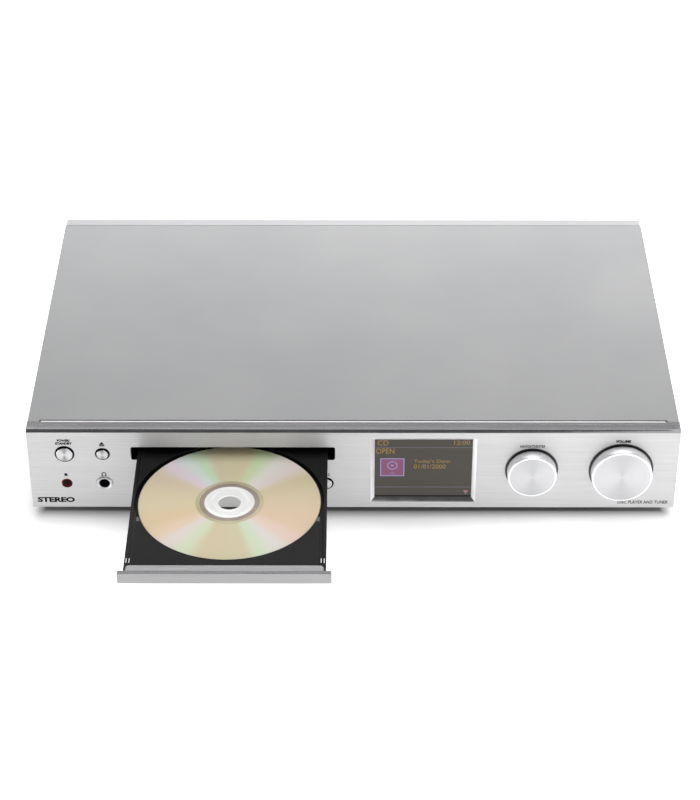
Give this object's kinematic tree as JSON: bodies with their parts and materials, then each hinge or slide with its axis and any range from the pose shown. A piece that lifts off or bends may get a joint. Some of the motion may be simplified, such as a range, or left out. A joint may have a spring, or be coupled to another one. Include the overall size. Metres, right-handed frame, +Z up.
{
  "type": "hi-fi disc player and network tuner",
  "caption": "Full-width silver hi-fi component with a motor-driven disc drawer, display window, push buttons and two turned knobs.",
  "frame": {"origin": "on the surface that the feet stand on, under the middle of the case (half way from the front panel to the rear panel)", "axes": "+X to the right seen from the front, +Y to the back, +Z up; the drawer is open at rest"},
  "size_m": [0.4432, 0.412, 0.0736],
  "materials": {
    "brushed_aluminium": "horizontal brushed, clear anodised",
    "cover_paint": "satin grey metallic powder coat",
    "rear_paint": "satin silver powder coat",
    "zinc_steel": "zinc-plated pressed sheet",
    "bright_steel": "bright plated",
    "spun_aluminium": "spun face with a polished edge",
    "polished_ring": "polished",
    "black_plastic": "moulded, fine texture",
    "foot_plastic": "moulded, satin",
    "pad_rubber": "matt",
    "tray_plastic": "moulded, fine texture",
    "display_glass": "clear hard-coated window over a lit colour display",
    "ir_filter": "dark red infrared filter",
    "disc_plastic": "clear disc over a gold data layer",
    "gear_plastic": "moulded acetal",
    "pulley_brass": "turned",
    "circuit_board": "solder mask",
    "supply_board": "wound parts and cans, taped"
  },
  "bodies": {
    "case": {"front_panel": "brushed_aluminium", "front_subframe": "black_plastic", "top_cover": "cover_paint", "base_pan": "zinc_steel", "rear_panel": "rear_paint", "foot_front_left": "foot_plastic", "foot_front_right": "foot_plastic", "foot_back_left": "foot_plastic", "foot_back_right": "foot_plastic", "foot_pads": "pad_rubber", "cover_screws": "bright_steel", "foot_screws": "bright_steel", "inner_screws": "bright_steel", "display_window": "display_glass", "display_module": "black_plastic", "ir_window": "ir_filter", "headphone_socket": "black_plastic", "headphone_ring": "polished_ring", "navigate_collar": "black_plastic", "navigate_encoder": "bright_steel", "volume_collar": "black_plastic", "volume_encoder": "bright_steel", "control_board": "circuit_board", "tact_switches": "black_plastic", "main_board": "circuit_board", "network_module": "zinc_steel", "power_supply": "supply_board", "power_inlet": "black_plastic", "antenna_socket": "bright_steel", "line_out_sockets": "black_plastic", "optical_socket": "black_plastic", "loader_frame": "black_plastic", "clamp_bridge": "zinc_steel", "loading_motor": "bright_steel", "loading_belt": "pad_rubber"},
    "drawer": {"disc_tray": "tray_plastic", "tray_plate": "brushed_aluminium"},
    "disc": {"disc": "disc_plastic"},
    "deck": {"drive_deck": "zinc_steel", "spindle_motor": "bright_steel", "guide_rods": "bright_steel"},
    "turntable": {"turntable": "black_plastic"},
    "sled": {"laser_sled": "black_plastic"},
    "sled_gear": {"sled_gear": "gear_plastic"},
    "pinion_gear": {"pinion_gear": "gear_plastic"},
    "loading_pulley": {"loading_pulley": "gear_plastic"},
    "motor_pulley": {"motor_pulley": "pulley_brass"},
    "clamp_puck": {"clamp_puck": "black_plastic"},
    "navigate_stem": {"navigate_shaft": "bright_steel"},
    "navigate_knob": {"navigate_knob": "spun_aluminium"},
    "volume_knob": {"volume_knob": "spun_aluminium", "volume_shaft": "bright_steel"},
    "power_button": {"power_button": "spun_aluminium"},
    "eject_button": {"eject_button": "spun_aluminium"},
    "stop_button": {"stop_button": "spun_aluminium"},
    "previous_button": {"previous_button": "spun_aluminium"},
    "next_button": {"next_button": "spun_aluminium"},
    "repeat_button": {"repeat_button": "spun_aluminium"},
    "skip_button": {"skip_button": "spun_aluminium"},
    "play_button": {"play_button": "spun_aluminium"}
  },
  "joints": [
    {"name": "drawer_slide", "type": "slide", "parent": "case", "child": "drawer", "axis": [0, 1, 0], "range_m": [0, 0.13]},
    {"name": "disc_spin", "type": "hinge", "parent": "drawer", "child": "disc", "pos_m": [-0.0814, -0.1888, 0.053], "axis": [0, 0, 1], "continuous": true},
    {"name": "deck_lift", "type": "slide", "parent": "case", "child": "deck", "axis": [0, 0, 1], "range_m": [0, 0.0062]},
    {"name": "turntable_spin", "type": "hinge", "parent": "deck", "child": "turntable", "pos_m": [-0.0814, -0.0588, 0.041], "axis": [0, 0, 1], "continuous": true},
    {"name": "sled_slide", "type": "slide", "parent": "deck", "child": "sled", "axis": [0, 1, 0], "range_m": [0, 0.035]},
    {"name": "sled_gear_spin", "type": "hinge", "parent": "deck", "child": "sled_gear", "pos_m": [-0.0492, -0.0088, 0.04], "axis": [0, 0, 1], "range_deg": [-240, 10]},
    {"name": "pinion_gear_spin", "type": "hinge", "parent": "case", "child": "pinion_gear", "pos_m": [-0.1293, -0.1, 0.045], "axis": [0, 0, 1], "range_deg": [-760, 10]},
    {"name": "loading_pulley_spin", "type": "hinge", "parent": "case", "child": "loading_pulley", "pos_m": [-0.1093, -0.1, 0.039], "axis": [0, 0, 1], "range_deg": [-10, 1780]},
    {"name": "motor_pulley_spin", "type": "hinge", "parent": "case", "child": "motor_pulley", "pos_m": [-0.0653, -0.1, 0.039], "axis": [0, 0, 1], "range_deg": [-10, 6200]},
    {"name": "clamp_puck_spin", "type": "hinge", "parent": "case", "child": "clamp_puck", "pos_m": [-0.0814, -0.0588, 0.059], "axis": [0, 0, 1], "continuous": true},
    {"name": "navigate_press", "type": "slide", "parent": "case", "child": "navigate_stem", "axis": [0, 1, 0], "range_m": [0, 0.0004], "stiffness_N_per_m": 2500},
    {"name": "navigate_turn", "type": "hinge", "parent": "navigate_stem", "child": "navigate_knob", "pos_m": [0.121, -0.14, 0.041], "axis": [0, 1, 0], "continuous": true},
    {"name": "volume_turn", "type": "hinge", "parent": "case", "child": "volume_knob", "pos_m": [0.1817, -0.14, 0.041], "axis": [0, 1, 0], "continuous": true},
    {"name": "power_press", "type": "slide", "parent": "case", "child": "power_button", "axis": [0, 1, 0], "range_m": [0, 0.0008], "stiffness_N_per_m": 1200},
    {"name": "eject_press", "type": "slide", "parent": "case", "child": "eject_button", "axis": [0, 1, 0], "range_m": [0, 0.0008], "stiffness_N_per_m": 1200},
    {"name": "stop_press", "type": "slide", "parent": "case", "child": "stop_button", "axis": [0, 1, 0], "range_m": [0, 0.0008], "stiffness_N_per_m": 1200},
    {"name": "previous_press", "type": "slide", "parent": "case", "child": "previous_button", "axis": [0, 1, 0], "range_m": [0, 0.0008], "stiffness_N_per_m": 1200},
    {"name": "next_press", "type": "slide", "parent": "case", "child": "next_button", "axis": [0, 1, 0], "range_m": [0, 0.0008], "stiffness_N_per_m": 1200},
    {"name": "repeat_press", "type": "slide", "parent": "case", "child": "repeat_button", "axis": [0, 1, 0], "range_m": [0, 0.0008], "stiffness_N_per_m": 1200},
    {"name": "skip_press", "type": "slide", "parent": "case", "child": "skip_button", "axis": [0, 1, 0], "range_m": [0, 0.0008], "stiffness_N_per_m": 1200},
    {"name": "play_press", "type": "slide", "parent": "case", "child": "play_button", "axis": [0, 1, 0], "range_m": [0, 0.0008], "stiffness_N_per_m": 1200}
  ],
  "couplings": [
    {"joint": "pinion_gear_spin", "follows": "drawer_slide", "rad_per_m": -100},
    {"joint": "loading_pulley_spin", "follows": "drawer_slide", "rad_per_m": 233.33},
    {"joint": "motor_pulley_spin", "follows": "drawer_slide", "rad_per_m": 800},
    {"joint": "sled_gear_spin", "follows": "sled_slide", "rad_per_m": -111.11}
  ]
}
